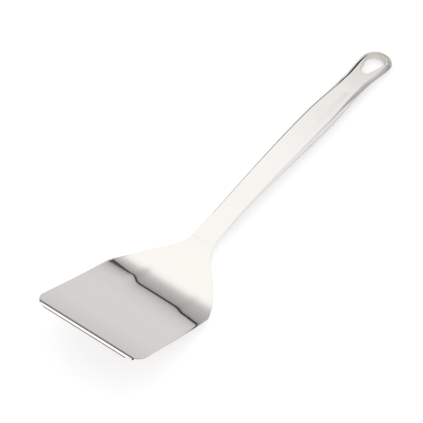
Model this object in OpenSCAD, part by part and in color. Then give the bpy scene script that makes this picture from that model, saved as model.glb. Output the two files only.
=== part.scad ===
// Turner for kitchen use, made of polished steel throughout.
// It lies at rest on the heel of its blade and on the underside of its handle.
// X runs from the blade's front edge to the hanging loop, Y runs across and Z is up.
// Units are millimetres and degrees.

/* [Blade] */
// Width of the blade across its front edge
blade_w = 89.6; // [70:0.2:120]
// Length of the blade from the front edge to the bend, along the sheet
blade_l = 89.6; // [75:0.2:120]
// Width of the blade where the bend begins
heel_w = 87.2; // [66:0.2:118]
// Thickness of the blade's sheet
sheet_t = 1.5; // [1.2:0.1:2]
// Radius of the two front corners
corner_r = 12; // [4:0.5:16]
// Width of the bevel ground along the front edge
bevel_w = 2.7; // [1:0.1:5]
// Thickness left at the front edge, under the bevel
edge_t = 0.3; // [0.1:0.1:0.8]

/* [Shoulder and neck] */
// Length of the gently curved stretch at the rear of the blade
curve_l = 55; // [20:1:60]
// Slope that the blade gains along that stretch
curve_a = 4; // [1:0.5:6]
// Length of the bend that turns the sheet up behind the blade
bend_l = 35.4; // [24:0.2:46]
// Slope at the end of the bend
bend_a = 39.4; // [30:0.2:46]
// Length of the last rise up to the steepest point
rise_l = 20; // [10:1:30]
// Slope at the steepest point
rise_a = 41.6; // [36:0.2:50]
// Length over which the neck eases back to the slope of the handle
ease_l = 12.4; // [8:0.2:30]
// Slope of the handle where the neck enters it
root_a = 32.6; // [26:0.2:38]
// Radius that rounds the shoulder's two outer corners
shoulder_r = 6; // [3:0.5:16]
// Angle of the shoulder's side just behind its corner
shoulder_a = 21; // [16:1:30]
// Angle of the shoulder's side where it meets the neck
neck_a = 49; // [40:1:56]
// Radius of the hollow between the shoulder and the neck
neck_r = 27.4; // [16:0.2:36]
// Width of the neck where it meets the handle
neck_w = 17; // [14:0.2:20]
// Length of the tang inside the handle
tang_l = 25; // [15:1:32]
// Width of the tang
tang_w = 12.4; // [8:0.2:12.6]

/* [Handle] */
// Length of the handle from its mouth to the tip of the loop, along its face
handle_l = 202; // [170:0.5:230]
// Length of the nose that the under shell reaches forward beneath the neck
nose_l = 9; // [6:0.5:14]
// Slope at the tip of the loop, to which the handle arches down evenly from its mouth
tip_a = 19; // [12:0.5:25]
// Wall of the two handle shells
wall = 1; // [0.8:0.1:1.2]
// Greatest width of the grip
grip_w = 20.8; // [19:0.2:26]
// Greatest depth of the grip, from its face to its keel
grip_d = 13.2; // [11:0.2:17]
// Width of the grip's top face at its widest
face_w = 16.8; // [15.4:0.2:18.4]
// Depth of the handle at its mouth
mouth_d = 4.6; // [4.4:0.1:6]
// Width of the top face at the mouth
mouth_face_w = 14.8; // [13:0.2:16]
// Width of the handle at its waist, before the loop
waist_w = 20; // [17:0.2:22]
// Width of the top face at the waist
waist_face_w = 14.8; // [12.6:0.2:16]
// Depth of the hollow pressed into the grip's top face
dish_d = 0.45; // [0.2:0.05:1.2]
// Flat margin between that hollow and the edges of the face
dish_margin = 1.6; // [1:0.1:3]

/* [Loop] */
// Width of the loop
loop_w = 23.6; // [20:0.2:26]
// Width of the loop's top face between its rounded shoulders
loop_face_w = 17; // [15:0.2:18]
// Thickness of the loop
loop_d = 3.9; // [3.4:0.1:6]
// Width of the hanging hole at its wide end, inside the sleeve
hole_w = 13.8; // [8:0.2:14.4]
// Width of the hanging hole at its narrow end, inside the sleeve
hole_tail_w = 7.6; // [5:0.2:8]
// Length of the hanging hole, inside the sleeve
hole_l = 22.5; // [17:0.5:26]
// Width of the band between the hole and the tip of the loop
loop_band_w = 6.4; // [5:0.2:9]
// Wall of the sleeve that lines the hole
sleeve_t = 0.8; // [0.6:0.1:1.2]

/* [Hidden] */

// What cuts run past the faces that they cut
over = 4;
// Depth of the seam between the shells, below the face, at the grip and at the loop
grip_seam_d = 4.2;
loop_seam_d = 1.5;
// Depth of the nose's blunt front end, below the neck
nose_tip_d = 0.6;
// Where the grip is deepest, where the waist is and where the loop's plate begins,
// along the handle's straight sides
grip_share = 0.61;
waist_share = 0.86;
plate_share = 0.91;
// Where the hollow in the face begins and ends, along the same stretch
dish_shares = [0.2, 0.81];
// How square the under shell's section is: 2 is an ellipse
keel_power = 2.5;
// Shares of the flank's width and depth where its curve is pulled to
flank_pull_share = 0.75;
edge_drop_share = 0.1;
// Numbers of steps along the handle, around the loop's end and across each half of a shell
long_count = 44;
fan_count = 14;
face_count = 7;
flank_count = 5;
keel_count = 10;
// Number of steps along the tang
tang_count = 4;
// Turn of one step along a rounded outline, and along the sheet's bends
arc_step_a = 4;
bend_step_a = 1.5;
$fn = 96;

side_l = handle_l - loop_w / 2;

// The top surface's stretches from the front edge to the loop's tip: length, slope at the end
RUNS = [
    [blade_l - curve_l, 0],
    [curve_l, curve_a],
    [bend_l, bend_a],
    [rise_l, rise_a],
    [ease_l, root_a],
    [nose_l, root_a],
    [handle_l, tip_a]
];
BEND = 2;
SHEET_RUNS = 5;
bend_start = blade_l;
neck_end = bend_start + bend_l + rise_l + ease_l;
mouth_s = neck_end + nose_l;
pole_s = mouth_s + side_l;

// A chord's share of its arc, for an arc that turns by a
function chord_share(a) = a == 0 ? 1 : sin(a / 2) / (a / 2) * 180 / PI;
// From a state [x, z, slope], the state after an arc of length l that ends at slope a
function advance(state, l, a) =
    let (c = l * chord_share(a - state[2]), m = (a + state[2]) / 2)
    [state[0] + c * cos(m), state[1] + c * sin(m), a];
function run_start(i) = i == 0 ? [0, 0, 0] : advance(run_start(i - 1), RUNS[i - 1][0], RUNS[i - 1][1]);
function run_s(i) = i == 0 ? 0 : run_s(i - 1) + RUNS[i - 1][0];
STARTS = [for (i = [0:len(RUNS)]) run_start(i)];
STATIONS = [for (i = [0:len(RUNS)]) run_s(i)];
// The state at distance s along the top surface
function along(s) =
    let (
        i = max([for (k = [0:len(RUNS) - 1]) STATIONS[k] <= s ? k : 0]),
        f = (s - STATIONS[i]) / RUNS[i][0],
        a0 = STARTS[i][2]
    )
    advance(STARTS[i], s - STATIONS[i], a0 + f * (RUNS[i][1] - a0));
// The point at distance s, y across and h above the top surface
function place(s, y, h) =
    let (q = along(s))
    [q[0] - h * sin(q[2]), y, q[1] + h * cos(q[2])];

// Smooth blend of values that are given at rising stations
function ease(f) = f <= 0 ? 0 : f >= 1 ? 1 : f * f * (3 - 2 * f);
function blend(x, at, values, i = 0) =
    i >= len(at) - 2 || x < at[i + 1]
        ? values[i] + (values[i + 1] - values[i]) * ease((x - at[i]) / (at[i + 1] - at[i]))
        : blend(x, at, values, i + 1);

// Sizes of the handle's section at distance s
at_shares = [0, grip_share, waist_share, 1];
function side_share(s) = (s - mouth_s) / side_l;
function half_w(s) = blend(side_share(s), at_shares, [neck_w, grip_w, waist_w, loop_w]) / 2;
function half_face(s) = blend(side_share(s), at_shares, [mouth_face_w, face_w, waist_face_w, loop_face_w]) / 2;
function depth(s) = s < mouth_s
    ? mouth_d - (mouth_d - sheet_t - nose_tip_d) * (mouth_s - s) / nose_l
    : blend(side_share(s), [0, grip_share, plate_share], [mouth_d, grip_d, loop_d]);
function seam_d(s) = blend(side_share(s), [0, grip_share, plate_share], [sheet_t, grip_seam_d, loop_seam_d]);
function softness(s) = ease((side_share(s) - grip_share) / (waist_share - grip_share));
dish_from = mouth_s + dish_shares[0] * side_l;
dish_to = mouth_s + dish_shares[1] * side_l;
function dish(s, y) =
    let (
        r = half_face(s) - dish_margin,
        past = max(dish_from + r - s, s - dish_to + r, 0),
        f = 1 - pow(norm([past, y]) / r, 2)
    )
    f > 0 ? dish_d * f * f : 0;

// Point at share t of a cubic curve with four control points
function bezier(p, t) =
    pow(1 - t, 3) * p[0] + 3 * pow(1 - t, 2) * t * p[1] + 3 * (1 - t) * t * t * p[2] + pow(t, 3) * p[3];
// Flank from the edge of the face, at c across, down to the seam, at m across and e below
function flank(s, c, m, e, top) = [
    for (i = [1:flank_count])
    bezier([
        [c, -top],
        [c + flank_pull_share * (m - c), -top - (1 - softness(s)) * edge_drop_share * (e - top)],
        [m, -e + flank_pull_share * (e - top)],
        [m, -e]
    ], i / flank_count)
];
// Half of the top shell's skin at distance s, sunk by t into the wall, as points [across, up]
function top_skin(s, t) =
    let (c = half_face(s) - t / 2)
    concat(
        [for (i = [0:face_count]) let (y = c * i / face_count) [y, -t - dish(s, y)]],
        flank(s, c, half_w(s) - t, seam_d(s), t)
    );
// Half of the under shell's skin at distance s, sunk by t into the wall
function under_skin(s, t) =
    let (m = half_w(max(s, mouth_s)) - t, e = seam_d(s), d = max(depth(s) - e - t, 0))
    [
        for (i = [0:keel_count])
        let (a = 90 - 90 * i / keel_count)
        [m * pow(cos(a), 2 / keel_power), -e - d * pow(sin(a), 2 / keel_power)]
    ];

// A half section's closed ring of points, turned by f around the middle line at distance s
function ring(skins, s, f) = [
    for (p = concat(skins[0], [for (i = [len(skins[1]) - 1:-1:0]) skins[1][i]]))
    place(s + p[0] * cos(f), p[0] * sin(f), p[1])
];
// Whether a triangle's corners span an area, which they don't where a strip meets the middle line
least_area = 0.000001;
function spans(points, t) =
    norm(cross(points[t[1]] - points[t[0]], points[t[2]] - points[t[0]])) > least_area;

// Distances of the half sections from the start of a shell to the loop's pole
function stations(from) = [for (i = [0:long_count]) from + (pole_s - from) * i / long_count];
// Shell whose half sections run down one side, around the loop's end and back up the other side
module shell(from, skins) {
    steps = stations(from);
    rings = concat(
        [for (s = steps) ring(skins(s), s, -90)],
        [for (i = [1:fan_count - 1]) ring(skins(pole_s), pole_s, -90 + 180 * i / fan_count)],
        [for (i = [long_count:-1:0]) ring(skins(steps[i]), steps[i], 90)]
    );
    n = len(rings[0]);
    points = [for (r = rings) each r];
    strips = [
        for (i = [0:len(rings) - 2], j = [0:n - 2])
        let (a = i * n + j)
        each [[a, a + 1, a + n + 1], [a, a + n + 1, a + n]]
    ];
    last = (len(rings) - 1) * n;
    caps = [
        for (j = [0:n / 2 - 2])
        let (k = n - 1 - j)
        each [
            [j, k, k - 1], [j, k - 1, j + 1],
            [last + j, last + k - 1, last + k], [last + j, last + j + 1, last + k - 1]
        ]
    ];
    polyhedron(points, [for (t = concat(strips, caps)) if (spans(points, t)) t]);
}

// Moves what children draw at the start of the top surface to distance s along it
module at_s(s) {
    q = along(s);
    translate([q[0], 0, q[1]])
        rotate([0, -q[2], 0])
        children();
}

// Distances along the sheet at which its side profile has a point
sheet_stops = [
    for (i = [0:SHEET_RUNS - 1])
    let (n = max(ceil(abs(RUNS[i][1] - STARTS[i][2]) / bend_step_a), 1))
    each [for (k = [0:n - 1]) STATIONS[i] + RUNS[i][0] * k / n],
    neck_end,
    mouth_s
];
// Bent strip that runs over the given stops, t thick and w wide, its top sunk to depth h
module strip(stops, h, t, w) {
    top = [for (s = stops) place(s, 0, -h)];
    under = [for (i = [len(stops) - 1:-1:0]) place(stops[i], 0, -h - t)];
    rotate([90, 0, 0])
        linear_extrude(w, center = true)
        polygon([for (p = concat(top, under)) [p[0], p[2]]]);
}

// Outline of the sheet, seen square to a plane halfway between the blade and the handle's root
cut_a = root_a / 2;
function seen_x(s) = let (q = along(s)) q[0] * cos(cut_a) + q[1] * sin(cut_a);
taper_a = atan2((blade_w - heel_w) / 2, seen_x(bend_start));
corner_l = shoulder_r * (shoulder_a - taper_a) * PI / 180;
hollow_l = neck_r * neck_a * PI / 180;
corner_end = advance([seen_x(bend_start), heel_w / 2, -taper_a], corner_l, -shoulder_a);
hollow_drop = -advance([0, 0, -neck_a], hollow_l, 0)[1];
side_turn = neck_a - shoulder_a;
side_drop = corner_end[1] - hollow_drop - neck_w / 2;
side_arc_l = side_drop / chord_share(side_turn) / sin((neck_a + shoulder_a) / 2);
side_end = advance(corner_end, side_arc_l, -neck_a);
function arc_points(state, l, a) =
    let (n = ceil(abs(a - state[2]) / arc_step_a))
    [for (i = [0:n]) let (q = advance(state, l * i / n, state[2] + (a - state[2]) * i / n)) [q[0], q[1]]];
module sheet_outline() {
    front_y = blade_w / 2 - corner_r * tan(taper_a) - corner_r / cos(taper_a);
    side = concat(
        [
            [0, front_y],
            [corner_r, front_y],
            [corner_r + corner_r * sin(taper_a), front_y + corner_r * cos(taper_a)]
        ],
        arc_points([seen_x(bend_start), heel_w / 2, -taper_a], corner_l, -shoulder_a),
        arc_points(corner_end, side_arc_l, -neck_a),
        arc_points(side_end, hollow_l, 0),
        [[seen_x(mouth_s) + over, neck_w / 2]]
    );
    polygon(concat(side, [for (i = [len(side) - 1:-1:0]) [side[i][0], -side[i][1]]]));
    for (y = [-front_y, front_y])
        translate([corner_r, y])
        circle(r = corner_r);
}

// Wedge that grinds the bevel off the blade's front edge
module bevel_cutter() {
    rise = sheet_t - edge_t;
    more = over / bevel_w * rise;
    rotate([90, 0, 0])
        linear_extrude(2 * blade_w, center = true)
        polygon([[-over, -rise - more], [bevel_w + over, more], [-over, more]]);
}

// Stamped blade with its shoulder, its neck and the tang that enters the handle
module blade() {
    high = mouth_s;
    color("gainsboro")
        at_rest() {
            difference() {
                intersection() {
                    strip(sheet_stops, 0, sheet_t, 2 * blade_w);
                    rotate([0, -cut_a, 0])
                        translate([0, 0, -high])
                        linear_extrude(2 * high)
                        sheet_outline();
                }
                bevel_cutter();
            }
            tang();
        }
}

// Tang, stepped down by one wall so that the neck and the handle's face are flush
module tang() {
    stops = [mouth_s - sheet_t, for (i = [0:tang_count]) mouth_s + tang_l * i / tang_count];
    strip(stops, wall, sheet_t, tang_w);
}

// Outline of the hanging hole, grown by t: two rounds and the flanks that join them
wide_r = hole_w / 2;
tail_r = hole_tail_w / 2;
tail_gap = hole_l - wide_r - tail_r;
hole_s = mouth_s + handle_l - loop_band_w - wide_r;
module hole_outline(t) {
    hull() {
        circle(r = wide_r + t);
        translate([-tail_gap, 0])
            circle(r = tail_r + t);
    }
}
// Straight cutter through the loop, square to its face at the middle of the hole
module hole_cutter(t) {
    middle = tail_gap / 2;
    at_s(hole_s - middle)
        translate([middle, 0, -loop_d - over])
        linear_extrude(loop_d + 2 * over)
        hole_outline(t);
}

// Upper shell: the dished face, the flanks down to the seam and the loop's upper half
module handle_top_shell() {
    color("whitesmoke")
        at_rest()
        difference() {
            shell(mouth_s, function(s) [top_skin(s, 0), top_skin(s, wall)]);
            hole_cutter(sleeve_t);
        }
}

// Under shell: the nose beneath the neck, the boat-shaped grip and the loop's lower half
module handle_under_shell() {
    color("silver")
        at_rest()
        difference() {
            shell(neck_end, function(s) [under_skin(s, 0), under_skin(s, wall)]);
            hole_cutter(sleeve_t);
        }
}

// Sleeve that lines the hanging hole, flush with the loop's faces above and below
module hang_hole_sleeve() {
    color("lightgray")
        at_rest()
        intersection() {
            difference() {
                hole_cutter(sleeve_t);
                hole_cutter(0);
            }
            shell(pole_s - hole_l, function(s) [top_skin(s, 0), under_skin(s, 0)]);
        }
}

// Slope of the blade when the turner lies on the outside of its bend and on its keel
bend_r = bend_l / (bend_a - curve_a) * 180 / PI;
bend_x = STARTS[BEND][0] - bend_r * sin(curve_a);
bend_z = STARTS[BEND][1] + bend_r * cos(curve_a);
function touch_a(p) =
    let (dx = p[0] - bend_x, dz = p[2] - bend_z)
    atan2(dz, dx) + asin((bend_r + sheet_t) / norm([dx, dz]));
keel_line = concat(
    [for (s = stations(neck_end)) place(s, 0, -depth(s))],
    [for (p = under_skin(pole_s, 0)) place(pole_s + p[0], 0, p[1])]
);
rest_a = min([for (p = keel_line) touch_a(p)]);
floor_z = bend_z * cos(rest_a) - bend_x * sin(rest_a) - bend_r - sheet_t;
tip = place(mouth_s + handle_l, 0, -loop_seam_d);
front_x = sheet_t * (tan(cut_a) * cos(rest_a) - sin(rest_a));
tip_x = tip[0] * cos(rest_a) + tip[2] * sin(rest_a);
module at_rest() {
    translate([-(front_x + tip_x) / 2, 0, -floor_z])
        rotate([0, rest_a, 0])
        children();
}

blade();
handle_top_shell();
handle_under_shell();
hang_hole_sleeve();
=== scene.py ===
# Turner for kitchen use, made of polished steel: its looks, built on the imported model.
# Every piece is made straight, as it leaves the press: X runs along the top surface from the
# front edge, Y runs across and Z is the height above that surface. One tree of nodes then bends
# all of them along the turner's side line and lays them in the frame.
import math

import bmesh
import bpy
import numpy as np
from mathutils import Matrix, Vector


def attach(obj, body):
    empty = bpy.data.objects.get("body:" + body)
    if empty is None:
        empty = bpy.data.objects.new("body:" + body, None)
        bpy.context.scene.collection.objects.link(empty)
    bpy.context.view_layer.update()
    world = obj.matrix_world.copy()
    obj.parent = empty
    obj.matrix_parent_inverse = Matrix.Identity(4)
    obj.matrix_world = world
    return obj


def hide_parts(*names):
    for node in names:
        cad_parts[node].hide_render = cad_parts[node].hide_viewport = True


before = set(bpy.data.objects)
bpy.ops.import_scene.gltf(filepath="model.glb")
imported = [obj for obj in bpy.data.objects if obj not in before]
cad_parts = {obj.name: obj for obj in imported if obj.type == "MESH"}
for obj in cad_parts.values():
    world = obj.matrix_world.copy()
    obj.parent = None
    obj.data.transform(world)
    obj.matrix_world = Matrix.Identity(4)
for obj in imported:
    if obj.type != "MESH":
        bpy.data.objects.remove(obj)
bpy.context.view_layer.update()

MM = 0.001

# Driving sizes, in millimetres and degrees, the same as in the part's source
BLADE_W = 89.6
BLADE_L = 89.6
HEEL_W = 87.2
SHEET_T = 1.5
CORNER_R = 12
BEVEL_W = 2.7
EDGE_T = 0.3
CURVE_L = 55
CURVE_A = 4
BEND_L = 35.4
BEND_A = 39.4
RISE_L = 20
RISE_A = 41.6
EASE_L = 12.4
ROOT_A = 32.6
SHOULDER_R = 6
SHOULDER_A = 21
NECK_A = 49
NECK_R = 27.4
NECK_W = 17
TANG_L = 25
TANG_W = 12.4
HANDLE_L = 202
NOSE_L = 9
TIP_A = 19
WALL = 1
GRIP_W = 20.8
GRIP_D = 13.2
FACE_W = 16.8
MOUTH_D = 4.6
MOUTH_FACE_W = 14.8
WAIST_W = 20
WAIST_FACE_W = 14.8
DISH_D = 0.45
DISH_MARGIN = 1.6
LOOP_W = 23.6
LOOP_FACE_W = 17
LOOP_D = 3.9
HOLE_W = 13.8
HOLE_TAIL_W = 7.6
HOLE_L = 22.5
LOOP_BAND_W = 6.4
SLEEVE_T = 0.8
GRIP_SEAM_D = 4.2
LOOP_SEAM_D = 1.5
NOSE_TIP_D = 0.6
GRIP_SHARE = 0.61
WAIST_SHARE = 0.86
PLATE_SHARE = 0.91
DISH_SHARES = (0.2, 0.81)
KEEL_POWER = 2.5
FLANK_PULL_SHARE = 0.75
EDGE_DROP_SHARE = 0.1

# Place of the side line's start and its slope, when the turner lies on its heel and its handle
REST_A = 27.2533
START_X = -178.375
START_Z = 45.4578

# The side line's stretches from the front edge to the loop's tip: name, length, slope at the end
RUNS = [
    ("Flat of the blade", BLADE_L - CURVE_L, 0),
    ("Curved rear of the blade", CURVE_L, CURVE_A),
    ("Bend", BEND_L, BEND_A),
    ("Rise", RISE_L, RISE_A),
    ("Neck", EASE_L, ROOT_A),
    ("Nose", NOSE_L, ROOT_A),
    ("Handle", HANDLE_L, TIP_A),
]
SHOULDER_S = BLADE_L
NECK_END = BLADE_L + BEND_L + RISE_L + EASE_L
MOUTH_S = NECK_END + NOSE_L
SIDE_L = HANDLE_L - LOOP_W / 2
POLE_S = MOUTH_S + SIDE_L
HOLE_S = MOUTH_S + HANDLE_L - LOOP_BAND_W - HOLE_W / 2
HOLE_GAP = HOLE_L - HOLE_W / 2 - HOLE_TAIL_W / 2

# Roundings that press and buffing wheel leave, which the part's source does without: those of
# the sheet's edges, at most a share of its thickness, of the handle's creases, of the bevel's
# ridge and of the sleeve's lips, the lower of which rises a little on both sides
EDGE_R = 0.3
EDGE_R_SHARE = 0.45
CREASE_R = 0.3
RIDGE_W = 0.8
LIP_R = 0.28
LIP_RISE = 0.3

# The rolled edge round the waist and the loop: its width, its depth and its curve's two pulls
ROLLED_W = 3.5
ROLLED_SEAM_D = 2.1
ROLLED_FLAT_SHARE = 0.12
ROLLED_PULL_SHARE = 0.13

# Where the press really starts the bend, across the sheet, and where the bend runs true again
BEND_START_YS = [-44, -28, -20, 14, 22, 44]
BEND_STARTS = [75, 77.8, 82.2, 82.6, 89.2, 92.4]
BEND_TRUE_S = 96
BEND_FADE_L = 32
BEND_POWER = 2.5

# Faint waves that the press leaves: height, length along the sheet, waves across it and start;
# a negative length runs the other way
WAVES = [(0.008, 61, 0.9, 0.12), (0.006, -140, 2.3, 0.3)]

# One side of the sheet leans down towards the bend: from where, by how much, and at which Y
LEAN_START_S = 70
LEAN_SLOPE = 1 / 175
LEAN_Y = 12
LEAN_EASE_W = 12

# What gets the ground finish: the top face this near to the front edge, and all of the sheet's
# sides, whose faces point up or down by less than this share
GROUND_W = BEVEL_W + 0.3
SIDE_NORMAL_Z = 0.8

# Points nearer than this are one point, and edges shorter than this go
MERGE_D = 0.002
LEAST_EDGE = 0.001


def ease(share):
    share = min(max(share, 0), 1)
    return share * share * (3 - 2 * share)


def eased(x, stations, values):
    """Smooth blend of values that are given at rising stations."""
    for i in range(len(stations) - 1):
        if x < stations[i + 1] or i == len(stations) - 2:
            share = (x - stations[i]) / (stations[i + 1] - stations[i])
            return values[i] + (values[i + 1] - values[i]) * ease(share)


def advance(x, y, slope, length, end_slope):
    """Far end of an arc of that length, whose slope in degrees runs on to end_slope."""
    half = math.radians(end_slope - slope) / 2
    chord = length * (math.sin(half) / half if half else 1)
    middle = math.radians(end_slope + slope) / 2
    return x + chord * math.cos(middle), y + chord * math.sin(middle), end_slope


def side_line(s):
    """Place and slope of the unturned side line at distance s."""
    x, z, slope = 0, 0, 0
    for _, length, end_slope in RUNS:
        part = min(max(s, 0), length)
        share = part / length
        x, z, slope = advance(x, z, slope, part, slope + share * (end_slope - slope))
        s -= length
        if s <= 0:
            break
    return x, z, slope


def seen(s):
    """Distance s along the side line, seen square to the plane in which the sheet is cut."""
    x, z, _ = side_line(s)
    cut = math.radians(ROOT_A / 2)
    return x * math.cos(cut) + z * math.sin(cut)


def arc_points(x, y, slope, length, end_slope, steps=16):
    shares = [i / steps for i in range(steps + 1)]
    ends = [advance(x, y, slope, length * f, slope + f * (end_slope - slope)) for f in shares]
    return [end[:2] for end in ends]


def sheet_outline():
    """Points of the sheet's side, as distance seen square to the cutting plane and half width."""
    heel_x = seen(SHOULDER_S)
    taper = math.atan2((BLADE_W - HEEL_W) / 2, heel_x)
    front_y = BLADE_W / 2 - CORNER_R * math.tan(taper) - CORNER_R / math.cos(taper)
    steps = 48
    turns = [(math.pi / 2 + taper) * i / steps for i in range(steps + 1)]
    side = [(CORNER_R * (1 - math.cos(a)), front_y + CORNER_R * math.sin(a)) for a in turns]
    start = (heel_x, HEEL_W / 2, -math.degrees(taper))
    corner_l = SHOULDER_R * (math.radians(SHOULDER_A) - taper)
    side += arc_points(*start, corner_l, -SHOULDER_A)
    start = advance(*start, corner_l, -SHOULDER_A)
    hollow_l = NECK_R * math.radians(NECK_A)
    hollow_drop = -advance(0, 0, -NECK_A, hollow_l, 0)[1]
    half_turn = math.radians(NECK_A - SHOULDER_A) / 2
    fall = math.sin(half_turn) / half_turn * math.sin(math.radians(NECK_A + SHOULDER_A) / 2)
    side_l = (start[1] - hollow_drop - NECK_W / 2) / fall
    side += arc_points(*start, side_l, -NECK_A)
    start = advance(*start, side_l, -NECK_A)
    side += arc_points(*start, hollow_l, 0)
    return np.array(side)


OUTLINE = sheet_outline()


def sheet_half_w(s):
    return float(np.interp(seen(s), OUTLINE[:, 0], OUTLINE[:, 1]))


def bend_waver(s, y):
    """Height that the sheet gains or lacks where its bend starts off the even line."""
    start = eased(y, BEND_START_YS, BEND_STARTS)
    span = BEND_TRUE_S - start
    even_span = BEND_TRUE_S - BLADE_L
    rate = math.radians(BEND_A - CURVE_A) / BEND_L
    share = min(max((s - start) / span, 0), 1)
    wandering = rate * even_span * span / BEND_POWER * share ** BEND_POWER
    even = rate / 2 * min(max(s - BLADE_L, 0), even_span) ** 2
    return (wandering - even) * ease((BEND_TRUE_S + BEND_FADE_L - s) / BEND_FADE_L)


def press_wave(s, y):
    """Height by which the pressed sheet departs from an even one; none is left at the handle."""
    turn = 2 * math.pi
    share = y / BLADE_W
    waves = sum(h * math.sin(turn * (s / length + n * share + at)) for h, length, n, at in WAVES)
    lean = max(s - LEAN_START_S, 0) * LEAN_SLOPE * ease((y - LEAN_Y) / LEAN_EASE_W)
    fade = ease((MOUTH_S - s) / (MOUTH_S - SHOULDER_S))
    return fade * (waves - lean) + bend_waver(s, y)


def sheet_top(s):
    """Height of the sheet's top: it falls along the ground bevel, and its ridge is buffed round."""
    past = BEVEL_W - s
    return -(SHEET_T - EDGE_T) / BEVEL_W * (past + math.hypot(past, RIDGE_W)) / 2


def sheet_stations():
    """Distances along the sheet at which it gets a ring of points, with the inset at its front."""
    nose_r = EDGE_T / 2
    nose_turns = np.linspace(0, 1.2, 5)
    corner_turns = np.linspace(0.16, math.pi / 2, 30)
    fine_start = SHOULDER_S - 12
    nose = [(nose_r * (1 - math.cos(a)), nose_r * (1 - math.sin(a))) for a in nose_turns]
    corner = [(CORNER_R * (1 - math.cos(a)), 0) for a in corner_turns]
    flat = [(s, 0) for s in np.linspace(CORNER_R, fine_start, 48)[1:]]
    bends = [(s, 0) for s in np.linspace(fine_start, MOUTH_S, 180)[1:]]
    return nose + corner + flat + bends


def sheet_ring(reach, top, under, across=60, around=7):
    """Closed section of the sheet, as points across and up, with rounded edges."""
    r = min(EDGE_R, (top - under) * EDGE_R_SHARE)
    turns = [math.pi / 2 * i / around for i in range(around + 1)]
    span = np.linspace(-1, 1, across + 1)
    ring = [((reach - r) * f, top) for f in span]
    ring += [(reach - r + r * math.sin(a), top - r + r * math.cos(a)) for a in turns[1:]]
    ring += [(reach - r + r * math.cos(a), under + r - r * math.sin(a)) for a in turns[:-1]]
    ring += [((reach - r) * f, under) for f in span[::-1]]
    ring += [(-reach + r - r * math.sin(a), under + r - r * math.cos(a)) for a in turns[1:]]
    ring += [(-reach + r - r * math.cos(a), top - r + r * math.sin(a)) for a in turns[:-1]]
    return ring


def mesh_of_rings(name, rings):
    """Mesh through rings of points in millimetres, closed at its two ends."""
    count = len(rings[0])
    points = [Vector(p) * MM for ring in rings for p in ring]
    faces = []
    for i in range(len(rings) - 1):
        for j in range(count):
            k = (j + 1) % count
            faces.append((i * count + j, i * count + k, (i + 1) * count + k, (i + 1) * count + j))
    last = (len(rings) - 1) * count
    faces.append(tuple(range(count))[::-1])
    faces.append(tuple(last + j for j in range(count)))
    mesh = bpy.data.meshes.new(name)
    mesh.from_pydata(points, [], faces)
    return mesh


def tidy_mesh(mesh):
    """Merges doubled points and turns the faces of a closed mesh outwards."""
    work = bmesh.new()
    work.from_mesh(mesh)
    bmesh.ops.remove_doubles(work, verts=work.verts, dist=MERGE_D * MM)
    bmesh.ops.dissolve_degenerate(work, edges=work.edges, dist=LEAST_EDGE * MM)
    bmesh.ops.recalc_face_normals(work, faces=work.faces)
    work.to_mesh(mesh)
    work.free()
    return mesh


def straight_blade():
    """Blade, shoulder, neck and stepped-down tang, straight as the blank leaves the shears."""
    rings = []
    for s, inset in sheet_stations():
        ring = sheet_ring(sheet_half_w(s) - inset, sheet_top(s) - inset, -SHEET_T + inset)
        rings.append([(s, y, z + press_wave(s, y)) for y, z in ring])
    # The tang's sides and top start abruptly; its underside comes down over the first millimetre
    tang_starts = [0.1, 1, TANG_L / 3, TANG_L * 2 / 3, TANG_L]
    unders = [-SHEET_T] + [-WALL - SHEET_T] * 4
    for start, under in zip(tang_starts, unders):
        rings.append([(MOUTH_S + start, y, z) for y, z in sheet_ring(TANG_W / 2, -WALL, under)])
    mesh = tidy_mesh(mesh_of_rings("blade_sheet", rings))
    ground = mesh.attributes.new("ground", "BOOLEAN", "FACE")
    for face in mesh.polygons:
        on_bevel = face.center.x < GROUND_W * MM and face.normal.z > 0
        on_side = face.center.x < MOUTH_S * MM and abs(face.normal.z) < SIDE_NORMAL_Z
        ground.data[face.index].value = on_bevel or on_side
    return mesh


def side_share(s):
    return (s - MOUTH_S) / SIDE_L


AT_SHARES = [0, GRIP_SHARE, WAIST_SHARE, 1]
DEPTH_SHARES = [0, GRIP_SHARE, PLATE_SHARE]


def half_w(s):
    return eased(side_share(s), AT_SHARES, [NECK_W, GRIP_W, WAIST_W, LOOP_W]) / 2


def half_face(s):
    return eased(side_share(s), AT_SHARES, [MOUTH_FACE_W, FACE_W, WAIST_FACE_W, LOOP_FACE_W]) / 2


def handle_depth(s):
    if s < MOUTH_S:
        return MOUTH_D - (MOUTH_D - SHEET_T - NOSE_TIP_D) * (MOUTH_S - s) / NOSE_L
    return eased(min(side_share(s), PLATE_SHARE), DEPTH_SHARES, [MOUTH_D, GRIP_D, LOOP_D])


def softness(s):
    """Share by which the edge is rolled: none on the grip, all of it from the waist on."""
    return ease((side_share(s) - GRIP_SHARE) / (WAIST_SHARE - GRIP_SHARE))


def seam_depth(s):
    share = min(max(side_share(s), 0), PLATE_SHARE)
    even = eased(share, DEPTH_SHARES, [SHEET_T, GRIP_SEAM_D, LOOP_SEAM_D])
    return max(even, ROLLED_SEAM_D * softness(s))


def mixed(crisp, rolled, share):
    """Value between that of a crisp edge and that of a rolled one."""
    return crisp + (rolled - crisp) * share


def dish(s, y):
    """Depth of the hollow pressed into the top face."""
    r = half_face(s) - DISH_MARGIN
    start = MOUTH_S + DISH_SHARES[0] * SIDE_L
    end = MOUTH_S + DISH_SHARES[1] * SIDE_L
    past = max(start + r - s, s - end + r, 0)
    f = 1 - (past * past + y * y) / (r * r)
    return DISH_D * f * f if f > 0 else 0


def bezier(points, t):
    shares = ((1 - t) ** 3, 3 * (1 - t) ** 2 * t, 3 * (1 - t) * t * t, t ** 3)
    return tuple(sum(f * p[axis] for f, p in zip(shares, points)) for axis in (0, 1))


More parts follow.
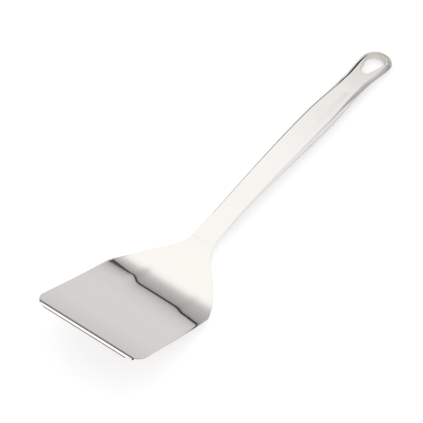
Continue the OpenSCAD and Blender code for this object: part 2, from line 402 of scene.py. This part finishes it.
def top_skin(s, sunk, face_steps, flank_steps):
    """Half of the top shell's skin, from the middle line across the face and down to the seam."""
    soft = softness(s)
    c = mixed(half_face(s), half_w(s) - ROLLED_W, soft) - sunk / 2
    m = half_w(s) - sunk
    e = seam_depth(s)
    drop = e - sunk
    flat_share = mixed(FLANK_PULL_SHARE, ROLLED_FLAT_SHARE, soft)
    drop_share = mixed(EDGE_DROP_SHARE, 0, soft)
    rise_share = mixed(FLANK_PULL_SHARE, ROLLED_PULL_SHARE, soft)
    pulls = [
        (c, -sunk),
        (c + flat_share * (m - c), -sunk - drop_share * drop),
        (m, -e + rise_share * drop),
        (m, -e),
    ]
    face = [(c * i / face_steps, -sunk - dish(s, c * i / face_steps)) for i in range(face_steps + 1)]
    flank = [bezier(pulls, i / flank_steps) for i in range(1, flank_steps + 1)]
    return face + flank


def rounded(points, r, shares):
    """Line of points with its creases eased over the radius r, sampled at shares of its length."""
    line = np.array(points)
    mirrored = [line[::-1] * (-1, 1), line[1:], (line[::-1] * (1, -1) + (0, 2 * line[-1, 1]))[1:]]
    run = np.concatenate(mirrored)
    gaps = np.hypot(*np.diff(run, axis=0).T)
    along = np.concatenate([[0], np.cumsum(gaps)])
    start = along[len(line) - 1]
    length = along[2 * len(line) - 2] - start
    # Each point is the mean of the line over 2 r, where its ends count a fifth of its middle
    spread = np.linspace(-1, 1, 9)
    weights = 1 - spread ** 2 * 0.8
    ends = []
    for share in shares:
        taken = start + share * length + r * spread
        near = [np.interp(taken, along, run[:, axis]) for axis in (0, 1)]
        ends.append(tuple(np.average(values, weights=weights) for values in near))
    return ends


def rounded_top_skin(s):
    """The top shell's outer skin, with the ridge along the face buffed to a small radius."""
    face_steps = 60
    skin = top_skin(s, 0, face_steps, 40)
    gaps = np.hypot(*np.diff(np.array(skin), axis=0).T)
    along = np.concatenate([[0], np.cumsum(gaps)])
    ridge = along[face_steps] / along[-1]
    # The points lie closer together within two and a half radii of the ridge
    near = 2.5 * CREASE_R / along[-1]
    shares = list(np.linspace(0, ridge - near, 15))
    shares += list(np.linspace(ridge - near, ridge + near, 11)[1:])
    shares += list(np.linspace(ridge + near, 1, 19)[1:])
    return rounded(skin, CREASE_R, shares)


def under_skin(s, sunk, steps=26):
    """Half of the under shell's skin, from the keel out to the seam."""
    m = half_w(max(s, MOUTH_S)) - sunk
    e = seam_depth(s)
    d = max(handle_depth(s) - e - sunk, 0)
    turns = [math.pi / 2 * (1 - i / steps) for i in range(steps + 1)]
    power = 2 / KEEL_POWER
    keel = [(m * abs(math.cos(a)) ** power, -e - d * math.sin(a) ** power) for a in turns[:-1]]
    return keel + [(m, -e)]


def shell_rings(start, section, long_steps=170, fan_steps=44):
    """Half sections down one side, around the loop's end and back up the other side."""
    stations = np.linspace(start, POLE_S, long_steps + 1)
    sections = [section(s) for s in stations]
    places = [(s, ring, -math.pi / 2) for s, ring in zip(stations, sections)]
    turns = [math.pi * (i / fan_steps - 0.5) for i in range(1, fan_steps)]
    places += [(POLE_S, sections[-1], turn) for turn in turns]
    places += [(s, ring, math.pi / 2) for s, ring in zip(stations[::-1], sections[::-1])]
    return [[(s + p[0] * math.cos(f), p[0] * math.sin(f), p[1]) for p in ring] for s, ring, f in places]


def shell_mesh(name, start, outer, inner):
    """Closed half shell: its outer skin, its inner skin and the edges that join them."""
    rings = shell_rings(start, lambda s: outer(s) + inner(s)[::-1])
    count = len(rings[0])
    points = [Vector(p) * MM for ring in rings for p in ring]
    faces = []
    for i in range(len(rings) - 1):
        a = i * count
        faces += [(a + j, a + j + 1, a + count + j + 1, a + count + j) for j in range(count - 1)]
    last = (len(rings) - 1) * count
    outer_count = len(outer(start))
    inner_count = count - outer_count
    steps = max(outer_count, inner_count) - 1
    for end, flip in ((0, 1), (last, -1)):
        for i in range(steps):
            o = [end + round((outer_count - 1) * (i + k) / steps) for k in (0, 1)]
            n = [end + count - 1 - round((inner_count - 1) * (i + k) / steps) for k in (0, 1)]
            corners = [o[0], n[0], n[1], o[1]]
            unique = sorted(set(corners), key=corners.index)
            if len(unique) > 2:
                faces.append(tuple(unique[::flip]))
    mesh = bpy.data.meshes.new(name)
    mesh.from_pydata(points, [], faces)
    return tidy_mesh(mesh)


def hole_outline(grown, steps=128):
    """Outline of the hanging hole: a wide round, a narrow round and the flanks between them."""
    wide, tail = HOLE_W / 2 + grown, HOLE_TAIL_W / 2 + grown
    switch = math.acos((tail - wide) / HOLE_GAP)
    line = []
    for i in range(steps):
        turn = 2 * math.pi * (i + 0.5) / steps - math.pi
        on_wide = abs(turn) < switch
        x = HOLE_S - (0 if on_wide else HOLE_GAP)
        r = wide if on_wide else tail
        line.append((x + r * math.cos(turn), r * math.sin(turn)))
    return line


def cut_hole(mesh):
    """Cuts the hanging hole, with room for its sleeve, through a shell."""
    outline = hole_outline(SLEEVE_T)
    rings = [[(x, y, z) for x, y in outline] for z in (-2 * LOOP_D, LOOP_D)]
    cutter_mesh = tidy_mesh(mesh_of_rings("hole_cutter", rings))
    shell = bpy.data.objects.new(mesh.name, mesh)
    cutter = bpy.data.objects.new("hole_cutter", cutter_mesh)
    for made in (shell, cutter):
        bpy.context.scene.collection.objects.link(made)
    cut = shell.modifiers.new("Hanging hole", "BOOLEAN")
    cut.object = cutter
    cut.solver = "EXACT"
    bpy.context.view_layer.update()
    evaluated = shell.evaluated_get(bpy.context.evaluated_depsgraph_get())
    result = bpy.data.meshes.new_from_object(evaluated)
    bpy.data.objects.remove(shell)
    bpy.data.objects.remove(cutter)
    return result


def add(tree, kind, inputs=None, **settings):
    """Adds a node with its settings; an input is a value or another node's output."""
    made = tree.nodes.new(kind)
    for name, value in settings.items():
        setattr(made, name, value)
    for socket, value in (inputs or {}).items():
        if isinstance(value, bpy.types.NodeSocket):
            tree.links.new(value, made.inputs[socket])
        else:
            made.inputs[socket].default_value = value
    return made


def maths(tree, operation, *values):
    return add(tree, "ShaderNodeMath", dict(enumerate(values)), operation=operation).outputs[0]


def new_tree(name, inputs):
    """Node tree for geometry with named inputs, as name, socket kind and value."""
    tree = bpy.data.node_groups.new(name, "GeometryNodeTree")
    tree.is_modifier = True
    tree.interface.new_socket("Geometry", in_out="INPUT", socket_type="NodeSocketGeometry")
    for label, kind, value in inputs:
        socket = tree.interface.new_socket(label, in_out="INPUT", socket_type=kind)
        if value is not None:
            socket.default_value = value
    tree.interface.new_socket("Geometry", in_out="OUTPUT", socket_type="NodeSocketGeometry")
    return tree


def run_tree(mesh, tree, values):
    """Plain mesh that the tree makes of a mesh, with the modifier's inputs set by identifier."""
    holder = bpy.data.objects.new("holder", mesh)
    bpy.context.scene.collection.objects.link(holder)
    modifier = holder.modifiers.new(tree.name, "NODES")
    modifier.node_group = tree
    for item in tree.interface.items_tree:
        if item.in_out == "INPUT" and item.name in values:
            modifier[item.identifier] = values[item.name]
    bpy.context.view_layer.update()
    evaluated = holder.evaluated_get(bpy.context.evaluated_depsgraph_get())
    result = bpy.data.meshes.new_from_object(evaluated)
    bpy.data.objects.remove(holder)
    return result


def bending_tree():
    """Bends straight pieces along the side line, an arc at a time, and lays them at rest."""
    inputs = [
        ("Start along", "NodeSocketFloat", START_X * MM),
        ("Start height", "NodeSocketFloat", START_Z * MM),
        ("Start slope", "NodeSocketFloat", math.radians(-REST_A)),
    ]
    for name, length, slope in RUNS:
        inputs.append((name + " length", "NodeSocketFloat", length * MM))
        inputs.append((name + " end slope", "NodeSocketFloat", math.radians(slope - REST_A)))
    inputs += [
        ("Steel", "NodeSocketMaterial", None),
        ("Ground steel", "NodeSocketMaterial", None),
    ]
    tree = new_tree("Bend along the side line", inputs)
    given = tree.nodes.new("NodeGroupInput").outputs
    straight = add(tree, "GeometryNodeInputPosition").outputs[0]
    kept = add(
        tree,
        "GeometryNodeStoreNamedAttribute",
        {"Geometry": given["Geometry"], "Name": "straight", "Value": straight},
        data_type="FLOAT_VECTOR",
        domain="POINT",
    )
    apart = add(tree, "ShaderNodeSeparateXYZ", {0: straight}).outputs
    x, z, slope = given["Start along"], given["Start height"], given["Start slope"]
    passed, run_slope = 0.0, given["Start slope"]
    # Keeps half a turn off zero, because the chord is divided by it
    least_turn = 0.000001
    for name, _, _ in RUNS:
        length = given[name + " length"]
        end_slope = given[name + " end slope"]
        left = maths(tree, "SUBTRACT", apart["X"], passed)
        part = maths(tree, "MINIMUM", maths(tree, "MAXIMUM", left, 0.0), length)
        share = maths(tree, "DIVIDE", part, length)
        turn = maths(tree, "MULTIPLY", share, maths(tree, "SUBTRACT", end_slope, run_slope))
        half = maths(tree, "MULTIPLY_ADD", turn, 0.5, least_turn)
        middle = maths(tree, "ADD", run_slope, half)
        chord = maths(tree, "MULTIPLY", part, maths(tree, "DIVIDE", maths(tree, "SINE", half), half))
        x = maths(tree, "MULTIPLY_ADD", chord, maths(tree, "COSINE", middle), x)
        z = maths(tree, "MULTIPLY_ADD", chord, maths(tree, "SINE", middle), z)
        slope = maths(tree, "ADD", slope, turn)
        passed = maths(tree, "ADD", passed, length)
        run_slope = end_slope
    back = maths(tree, "MULTIPLY", apart["Z"], maths(tree, "SINE", slope))
    up = maths(tree, "MULTIPLY", apart["Z"], maths(tree, "COSINE", slope))
    place = {0: maths(tree, "SUBTRACT", x, back), 1: apart["Y"], 2: maths(tree, "ADD", z, up)}
    bent = add(tree, "ShaderNodeCombineXYZ", place).outputs[0]
    moved = add(tree, "GeometryNodeSetPosition", {"Geometry": kept.outputs[0], "Position": bent})
    whole = add(tree, "GeometryNodeRealizeInstances", {0: moved.outputs[0]})
    steel = add(tree, "GeometryNodeSetMaterial", {"Geometry": whole.outputs[0], "Material": given["Steel"]})
    ground = add(tree, "GeometryNodeInputNamedAttribute", {"Name": "ground"}, data_type="BOOLEAN")
    last = add(
        tree,
        "GeometryNodeSetMaterial",
        {"Geometry": steel.outputs[0], "Selection": ground.outputs[0], "Material": given["Ground steel"]},
    )
    add(tree, "NodeGroupOutput", {0: last.outputs[0]})
    return tree


def sleeve_tree():
    """Sweeps the sleeve's wall, with its two rounded lips, around the outline of the hole."""
    inputs = [
        ("Wide width", "NodeSocketFloat", HOLE_W * MM),
        ("Narrow width", "NodeSocketFloat", HOLE_TAIL_W * MM),
        ("Gap between rounds", "NodeSocketFloat", HOLE_GAP * MM),
        ("Wall", "NodeSocketFloat", SLEEVE_T * MM),
        ("Depth", "NodeSocketFloat", LOOP_D * MM),
        ("Lip radius", "NodeSocketFloat", LIP_R * MM),
        ("Rise of the lower lip", "NodeSocketFloat", LIP_RISE * MM),
        ("Steps around", "NodeSocketInt", 160),
        ("Steps of a lip", "NodeSocketInt", 6),
        ("Wide round along", "NodeSocketFloat", HOLE_S * MM),
        ("Steel", "NodeSocketMaterial", None),
    ]
    tree = new_tree("Sleeve of the hanging hole", inputs)
    given = tree.nodes.new("NodeGroupInput").outputs
    steps = given["Steps around"]
    circle = add(tree, "GeometryNodeCurvePrimitiveCircle", {"Resolution": steps, "Radius": 1.0})
    outward = add(tree, "GeometryNodeInputPosition").outputs[0]
    across = add(tree, "ShaderNodeSeparateXYZ", {0: outward}).outputs
    half_wall = maths(tree, "MULTIPLY", given["Wall"], 0.5)
    wide = maths(tree, "MULTIPLY_ADD", given["Wide width"], 0.5, half_wall)
    tail = maths(tree, "MULTIPLY_ADD", given["Narrow width"], 0.5, half_wall)
    limit = maths(tree, "DIVIDE", maths(tree, "SUBTRACT", tail, wide), given["Gap between rounds"])
    on_wide = maths(tree, "GREATER_THAN", across["X"], limit)
    spread = maths(tree, "MULTIPLY", on_wide, maths(tree, "SUBTRACT", wide, tail))
    radius = maths(tree, "ADD", tail, spread)
    back = maths(tree, "MULTIPLY", maths(tree, "SUBTRACT", on_wide, 1.0), given["Gap between rounds"])
    place = {
        0: maths(tree, "MULTIPLY_ADD", across["X"], radius, back),
        1: maths(tree, "MULTIPLY", across["Y"], radius),
    }
    outline = add(tree, "ShaderNodeCombineXYZ", place).outputs[0]
    line = add(tree, "GeometryNodeSetPosition", {"Geometry": circle.outputs[0], "Position": outline})
    even = add(tree, "GeometryNodeResampleCurve", {"Curve": line.outputs[0], "Count": steps})
    section = add(
        tree,
        "GeometryNodeCurvePrimitiveQuadrilateral",
        {"Width": given["Wall"], "Height": given["Depth"]},
    )
    lipped = add(
        tree,
        "GeometryNodeFilletCurve",
        {"Curve": section.outputs[0], "Radius": given["Lip radius"], "Count": given["Steps of a lip"]},
        mode="POLY",
    )
    upright = add(tree, "GeometryNodeSetCurveNormal", {"Curve": even.outputs[0]}, mode="Z_UP")
    swept = add(
        tree,
        "GeometryNodeCurveToMesh",
        {"Curve": upright.outputs[0], "Profile Curve": lipped.outputs[0]},
    )
    at = add(tree, "ShaderNodeSeparateXYZ", {0: add(tree, "GeometryNodeInputPosition").outputs[0]}).outputs
    half_depth = maths(tree, "MULTIPLY", given["Depth"], 0.5)
    aside = maths(tree, "DIVIDE", at["Y"], wide)
    rise = maths(tree, "MULTIPLY", maths(tree, "MULTIPLY", aside, aside), given["Rise of the lower lip"])
    lower = maths(tree, "MULTIPLY", maths(tree, "LESS_THAN", at["Z"], 0.0), rise)
    shift = {0: given["Wide round along"], 2: maths(tree, "SUBTRACT", lower, half_depth)}
    offset = add(tree, "ShaderNodeCombineXYZ", shift).outputs[0]
    placed = add(tree, "GeometryNodeSetPosition", {"Geometry": swept.outputs[0], "Offset": offset})
    whole = add(tree, "GeometryNodeRealizeInstances", {0: placed.outputs[0]})
    last = add(tree, "GeometryNodeSetMaterial", {"Geometry": whole.outputs[0], "Material": given["Steel"]})
    add(tree, "NodeGroupOutput", {0: last.outputs[0]})
    return tree


def colour(hex_code):
    """sRGB hex to the linear values that a socket takes."""
    parts = [int(hex_code[i:i + 2], 16) / 255 for i in (1, 3, 5)]
    linear = [c / 12.92 if c <= 0.04045 else ((c + 0.055) / 1.055) ** 2.4 for c in parts]
    return (*linear, 1)


def new_material(name):
    material = bpy.data.materials.new(name)
    material.use_nodes = True
    material.node_tree.nodes.clear()
    return material


def fill_ramp(ramp_node, stops):
    """Gives a ramp its stops, as position and colour, and returns what it puts out."""
    ramp = ramp_node.color_ramp
    while len(ramp.elements) < len(stops):
        ramp.elements.new(0.5)
    for element, (position, hue) in zip(ramp.elements, stops):
        element.position = position
        element.color = hue
    return ramp_node.outputs[0]


def tint_along(tree, along_piece, tints, length):
    """Colour that changes with the distance along the piece, over that length."""
    distance = add(tree, "ShaderNodeSeparateXYZ", {0: along_piece}).outputs["X"]
    share = maths(tree, "DIVIDE", distance, length * MM)
    stops = [(s / length, colour(hex_code)) for s, hex_code in tints]
    return fill_ramp(add(tree, "ShaderNodeValToRGB", {0: share}), stops)


# Range in which nearly all of a noise's values lie
NOISE_LOW = 0.3
NOISE_HIGH = 0.7

# Buffing: how the lines and the cloudiness are drawn out along the piece, and their shares in
# its roughness; the cloudiness is this wide in millimetres
LINE_STRETCH = 0.012
CLOUD_STRETCH = 0.5
CLOUD_W = 18
LINE_SHARE = 0.6
CLOUD_SHARE = 0.4

# Belt marks: their length and spacing in millimetres, their depth and the range of roughness
MARK_L = 3
MARK_W = 0.25
MARK_DEPTH = 0.002
MARK_GLOSS = (0.14, 0.24)


def roughness(tree, noise, gloss):
    """Roughness within the two values of gloss, as a noise gives it."""
    spread = {
        "Value": noise,
        "From Min": NOISE_LOW,
        "From Max": NOISE_HIGH,
        "To Min": gloss[0],
        "To Max": gloss[1],
    }
    return add(tree, "ShaderNodeMapRange", spread).outputs[0]


def polished_steel(name, tints, gloss, line_w, line_depth):
    """Stainless steel buffed lengthwise on a soft wheel.

    The eye gets a clear, slightly softened mirror with hair-fine lines along the piece and a
    faint cloudiness. Tints are its colours at distances along the piece, some of them painted
    shade, gloss is the range of its roughness, line_w the spacing of the buffing lines in
    millimetres and line_depth their depth.
    """
    material = new_material(name)
    tree = material.node_tree
    along_piece = add(tree, "ShaderNodeAttribute", attribute_name="straight").outputs["Vector"]
    # Buffing lines are far finer in reality; they are drawn as coarse as a close view needs
    line_scale = {"Scale": (LINE_STRETCH / line_w / MM, 1 / line_w / MM, 1 / line_w / MM)}
    stretched = add(tree, "ShaderNodeMapping", {"Vector": along_piece, **line_scale}).outputs[0]
    lines = add(tree, "ShaderNodeTexNoise", {"Vector": stretched, "Scale": 1.0, "Detail": 4.0})
    # Cloudiness that the wheel and the wiping cloth leave
    cloud_scale = {"Scale": (CLOUD_STRETCH / CLOUD_W / MM, 1 / CLOUD_W / MM, 1 / CLOUD_W / MM)}
    spread = add(tree, "ShaderNodeMapping", {"Vector": along_piece, **cloud_scale}).outputs[0]
    clouds = add(tree, "ShaderNodeTexNoise", {"Vector": spread, "Scale": 1.0, "Detail": 3.0})
    cloudy = maths(tree, "MULTIPLY", clouds.outputs[0], CLOUD_SHARE)
    wear = maths(tree, "MULTIPLY_ADD", lines.outputs[0], LINE_SHARE, cloudy)
    rough = roughness(tree, wear, gloss)
    bump = add(
        tree,
        "ShaderNodeBump",
        {"Height": lines.outputs[0], "Strength": 1.0, "Distance": line_depth * MM},
    )
    surface = {
        "Base Color": tint_along(tree, along_piece, tints, MOUTH_S + HANDLE_L),
        "Metallic": 1.0,
        "Roughness": rough,
        "Normal": bump.outputs[0],
    }
    shader = add(tree, "ShaderNodeBsdfPrincipled", surface)
    add(tree, "ShaderNodeOutputMaterial", {"Surface": shader.outputs[0]})
    return material


def ground_steel(name, tints):
    """The same steel ground on a fine wet belt, square to the front edge.

    The eye gets a soft satin streak instead of a clear mirror. Tints are its colours at
    distances from the front edge; a dark one along the edge is painted shade and one along the
    ridge is a painted dark reflection.
    """
    material = new_material(name)
    tree = material.node_tree
    along_piece = add(tree, "ShaderNodeAttribute", attribute_name="straight").outputs["Vector"]
    # Marks of a fine grit, drawn further apart than they are so that they show
    stroke = {"Scale": (1 / MARK_L / MM, 1 / MARK_W / MM, 1 / MM)}
    stretched = add(tree, "ShaderNodeMapping", {"Vector": along_piece, **stroke}).outputs[0]
    marks = add(tree, "ShaderNodeTexNoise", {"Vector": stretched, "Scale": 1.0, "Detail": 3.0})
    rough = roughness(tree, marks.outputs[0], MARK_GLOSS)
    bump = add(
        tree,
        "ShaderNodeBump",
        {"Height": marks.outputs[0], "Strength": 1.0, "Distance": MARK_DEPTH * MM},
    )
    surface = {
        "Base Color": tint_along(tree, along_piece, tints, 2 * BEVEL_W),
        "Metallic": 1.0,
        "Roughness": rough,
        "Normal": bump.outputs[0],
    }
    shader = add(tree, "ShaderNodeBsdfPrincipled", surface)
    add(tree, "ShaderNodeOutputMaterial", {"Surface": shader.outputs[0]})
    return material


# The steel's colours at distances in millimetres from the front edge, along the side line
BLADE_TINTS = [
    (4, "#E2DEDC"),
    (28, "#EEEAE8"),
    (85, "#EEEAE8"),
    (120, "#EEEBE5"),
    (MOUTH_S, "#EBE9E4"),
]
# The handle's steel grows darker and browner towards the loop's tip, and its last few millimetres there are
# painted dark: painted shade along the outline of the loop's end
HANDLE_TINTS = [
    (MOUTH_S, "#EBE9E4"),
    (240, "#E9E7E3"),
    (285, "#E0DEDA"),
    (315, "#DFDCD8"),
    (335, "#D9D5D1"),
    (350, "#D6D3D0"),
    (363.5, "#D0CAC3"),
    # Painted shade: the loop's end is painted dark along its outline
    (367, "#8C8681"),
    (MOUTH_S + HANDLE_L, "#7C7672"),
]
# The under shell is painted darker than the top shell, more so towards the loop: painted shade that draws a
# thin grey outline along the handle's silhouette
UNDER_PAINTED_SHADE_TINTS = [(MOUTH_S, "#D8D8D8"), (285, "#D2D2D3"), (MOUTH_S + HANDLE_L, "#C4C3C1")]
SLEEVE_TINTS = [(HOLE_S - HOLE_GAP, "#E2DFDB"), (HOLE_S, "#D6D2CC")]
# Painted shade as a dark line on the front edge, the ground face, a painted dark reflection along the
# ridge, and the sheet's sides further back
BEVEL_TINTS = [
    (0.3, "#4A4846"),
    (0.5, "#F1F0EE"),
    (2.1, "#F1F0EE"),
    (2.3, "#343231"),
    (2.9, "#343231"),
    (3.1, "#F1F0EE"),
]
# Depth of the buffing lines, in millimetres
LINE_DEPTH = 0.00003
BLADE_STEEL = polished_steel("buffed_sheet_steel", BLADE_TINTS, (0.02, 0.035), 0.35, LINE_DEPTH)
HANDLE_STEEL = polished_steel("buffed_drawn_steel", HANDLE_TINTS, (0.03, 0.05), 0.3, LINE_DEPTH)
UNDER_PAINTED_SHADE_STEEL = polished_steel("buffed_under_steel_painted_shade", UNDER_PAINTED_SHADE_TINTS, (0.04, 0.07), 0.3, LINE_DEPTH)
SLEEVE_STEEL = polished_steel("buffed_sleeve_steel", SLEEVE_TINTS, (0.03, 0.06), 0.3, LINE_DEPTH)
GROUND_STEEL = ground_steel("belt_ground_steel", BEVEL_TINTS)

BENDING = bending_tree()
# Edges that turn by more than this, in degrees, stay sharp
SMOOTH_A = 38


def finish_piece(name, mesh, steel, node):
    """Bends a straight mesh into its place and lets it stand for the node of the frame."""
    bent = run_tree(mesh, BENDING, {"Steel": steel, "Ground steel": GROUND_STEEL})
    bent.name = name
    bent.shade_smooth()
    bent.set_sharp_from_angle(angle=math.radians(SMOOTH_A))
    piece = bpy.data.objects.new(name, bent)
    bpy.context.scene.collection.objects.link(piece)
    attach(piece, "root")
    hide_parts(node)


finish_piece("turner_blade", straight_blade(), BLADE_STEEL, "blade")

top_shell = shell_mesh("top_shell", MOUTH_S, rounded_top_skin, lambda s: top_skin(s, WALL, 14, 12))
finish_piece("handle_top", cut_hole(top_shell), HANDLE_STEEL, "handle_top_shell")

under_shell = shell_mesh("under_shell", NECK_END, lambda s: under_skin(s, 0), lambda s: under_skin(s, WALL))
finish_piece("handle_under", cut_hole(under_shell), UNDER_PAINTED_SHADE_STEEL, "handle_under_shell")

sleeve_mesh = run_tree(bpy.data.meshes.new("sleeve"), sleeve_tree(), {"Steel": SLEEVE_STEEL})
finish_piece("hanging_hole_sleeve", sleeve_mesh, SLEEVE_STEEL, "hang_hole_sleeve")


# What the floor lacks of full white under the studio's light, and a little more; the steel
# mirrors it just short of white, so that a plain face stays apart from the background
FLOOR_TOP_UP = 0.5
MIRRORED_TOP_UP = 0.43
# Half the floor's side in metres, and its paper's fibres in millimetres
FLOOR_HALF_SIDE = 4
FIBRE_W = 0.4
FIBRE_H = 0.02


def seen_unmirrored(tree, path):
    """1 for what the camera sees straight or through glass, and 0 for all other light."""
    return maths(tree, "MAXIMUM", path["Is Camera Ray"], path["Is Transmission Ray"])


def floor_glow(tree):
    """What the floor adds to what the camera sees of it, in metal and through glass too."""
    path = add(tree, "ShaderNodeLightPath").outputs
    unmirrored = maths(tree, "MULTIPLY", seen_unmirrored(tree, path), FLOOR_TOP_UP)
    mirrored = maths(tree, "MULTIPLY", path["Is Glossy Ray"], MIRRORED_TOP_UP)
    return maths(tree, "MAXIMUM", unmirrored, mirrored)


def white_floor():
    """Matt white paper; what the studio's light leaves short of white is added to what is seen."""
    material = new_material("matt_white_paper")
    tree = material.node_tree
    where = add(tree, "ShaderNodeTexCoord").outputs["Object"]
    fibre_size = {"Scale": 1 / (FIBRE_W * MM), "Detail": 2.0}
    fibres = add(tree, "ShaderNodeTexNoise", {"Vector": where, **fibre_size})
    bump = add(
        tree,
        "ShaderNodeBump",
        {"Height": fibres.outputs[0], "Strength": 0.1, "Distance": FIBRE_H * MM},
    )
    paper = add(tree, "ShaderNodeBsdfDiffuse", {"Color": colour("#D8D8D8"), "Normal": bump.outputs[0]})
    glow = add(tree, "ShaderNodeEmission", {"Color": (1, 1, 1, 1), "Strength": floor_glow(tree)})
    both = add(tree, "ShaderNodeAddShader", {0: paper.outputs[0], 1: glow.outputs[0]})
    add(tree, "ShaderNodeOutputMaterial", {"Surface": both.outputs[0]})
    side = FLOOR_HALF_SIDE
    corners = [(-side, -side, 0), (side, -side, 0), (side, side, 0), (-side, side, 0)]
    mesh = bpy.data.meshes.new("floor")
    mesh.from_pydata(corners, [], [(0, 1, 2, 3)])
    mesh.materials.append(material)
    floor = bpy.data.objects.new("floor", mesh)
    bpy.context.scene.collection.objects.link(floor)


# The studio is a white tent: its brightness against the height above the horizon, in degrees
TENT_TOP = [(43, 1.13), (60, 1.13)]
NEAR_WALL = [(0, 0.95), (7, 0.7), (18, 0.7), (30, 0.95)] + TENT_TOP
# Behind the turner a grey wall ends in a narrow dark gap, above which the tent grows brighter
FAR_WALL = [
    (0, 0.76),
    (8.2, 0.77),
    (9.5, 0.73),
    (10.4, 0.62),
    (11, 0.45),
    (11.25, 0.04),
    (12.05, 0.04),
    (12.35, 0.33),
    (14, 0.42),
    (18, 0.49),
    (24, 0.6),
    (29, 0.75),
    (33, 0.94),
    (37, 1.07),
] + TENT_TOP
# A dark board on the far left draws the line along the handle's edge
DARK_BOARD = [(0, 0.05), (17, 0.05), (24, 0.5), (32, 0.95)] + TENT_TOP
# A grey board on the right shades the flank of the loop and the waist
GREY_BOARD = [(0, 0.7), (10, 0.53), (30, 0.53), (38, 0.75)] + TENT_TOP
# Grey side walls, out of the photograph's sight, give the steel its tones from the other sides
SIDE_WALL = [(0, 0.5), (12, 0.52), (26, 0.62), (42, 0.72), (52, 0.82), (60, 1.0)]
# Each wall's bands, the azimuth of its middle, half its width and the softness of its ends
WALLS = [
    (SIDE_WALL, 125, 40, 15),
    (SIDE_WALL, -118, 40, 22),
    (FAR_WALL, 22, 22, 12),
    (DARK_BOARD, 64, 14, 8),
    (GREY_BOARD, -32, 11, 8),
]
BRIGHTEST = max(level for _, level in TENT_TOP)


def wall_light(tree, angle, bands):
    """Brightness of a wall at an angle above the horizon."""
    top = bands[-1][0]
    share = maths(tree, "DIVIDE", angle, math.radians(top))
    stops = []
    for degrees, level in bands:
        grey = level / BRIGHTEST
        stops.append((degrees / top, (grey, grey, grey, 1)))
    return fill_ramp(add(tree, "ShaderNodeValToRGB", {0: share}), stops)


def studio_light():
    """Light of the tent's walls; where the camera looks past the floor it sees plain white."""
    world = bpy.data.worlds.new("studio")
    bpy.context.scene.world = world
    world.use_nodes = True
    tree = world.node_tree
    tree.nodes.clear()
    direction = add(tree, "ShaderNodeTexCoord").outputs["Generated"]
    parts = add(tree, "ShaderNodeSeparateXYZ", {0: direction}).outputs
    angle = maths(tree, "ARCSINE", parts["Z"])
    azimuth = maths(tree, "ARCTAN2", parts["Y"], parts["X"])
    light = wall_light(tree, angle, NEAR_WALL)
    for bands, middle, half_width, soft in WALLS:
        off = maths(tree, "ABSOLUTE", maths(tree, "SUBTRACT", azimuth, math.radians(middle)))
        edge = {
            "Value": off,
            "From Min": math.radians(half_width),
            "From Max": math.radians(half_width + soft),
            "To Min": 1.0,
            "To Max": 0.0,
        }
        here = add(tree, "ShaderNodeMapRange", edge, interpolation_type="SMOOTHSTEP").outputs[0]
        wall = wall_light(tree, angle, bands)
        light = add(tree, "ShaderNodeMixRGB", {0: here, 1: light, 2: wall}).outputs[0]
    tent = add(tree, "ShaderNodeBackground", {"Color": light, "Strength": BRIGHTEST})
    white = add(tree, "ShaderNodeBackground", {"Color": (1, 1, 1, 1), "Strength": 1.0})
    unmirrored = seen_unmirrored(tree, add(tree, "ShaderNodeLightPath").outputs)
    shown = add(tree, "ShaderNodeMixShader", {0: unmirrored, 1: tent.outputs[0], 2: white.outputs[0]})
    add(tree, "ShaderNodeOutputWorld", {"Surface": shown.outputs[0]})


# The photograph's camera: what it looks at, from where and how far, with its small roll
CAMERA_TARGET = Vector((-24.74, 7.85, 14)) * MM
CAMERA_AZIMUTH = -143.862
CAMERA_ELEVATION = 51.63
CAMERA_DISTANCE = 2246.6 * MM
CAMERA_ROLL = 0.998
CAMERA_LENS = 271.13


def place_camera():
    """The camera looks along the direction back, turned round by its roll."""
    azimuth = math.radians(CAMERA_AZIMUTH)
    elevation = math.radians(CAMERA_ELEVATION)
    back = Vector((
        math.cos(elevation) * math.cos(azimuth),
        math.cos(elevation) * math.sin(azimuth),
        math.sin(elevation),
    ))
    level = Vector((0, 0, 1)).cross(back).normalized()
    up = back.cross(level)
    roll = math.radians(CAMERA_ROLL)
    right = level * math.cos(roll) + up * math.sin(roll)
    up = back.cross(right)
    turn = Matrix((right, up, back)).transposed().to_4x4()
    lens = bpy.data.cameras.new("photo_camera")
    lens.lens = CAMERA_LENS
    camera = bpy.data.objects.new("photo_camera", lens)
    camera.matrix_world = Matrix.Translation(CAMERA_TARGET + back * CAMERA_DISTANCE) @ turn
    bpy.context.scene.collection.objects.link(camera)
    bpy.context.scene.camera = camera


white_floor()
studio_light()
place_camera()
bpy.context.scene.view_settings.view_transform = "Standard"
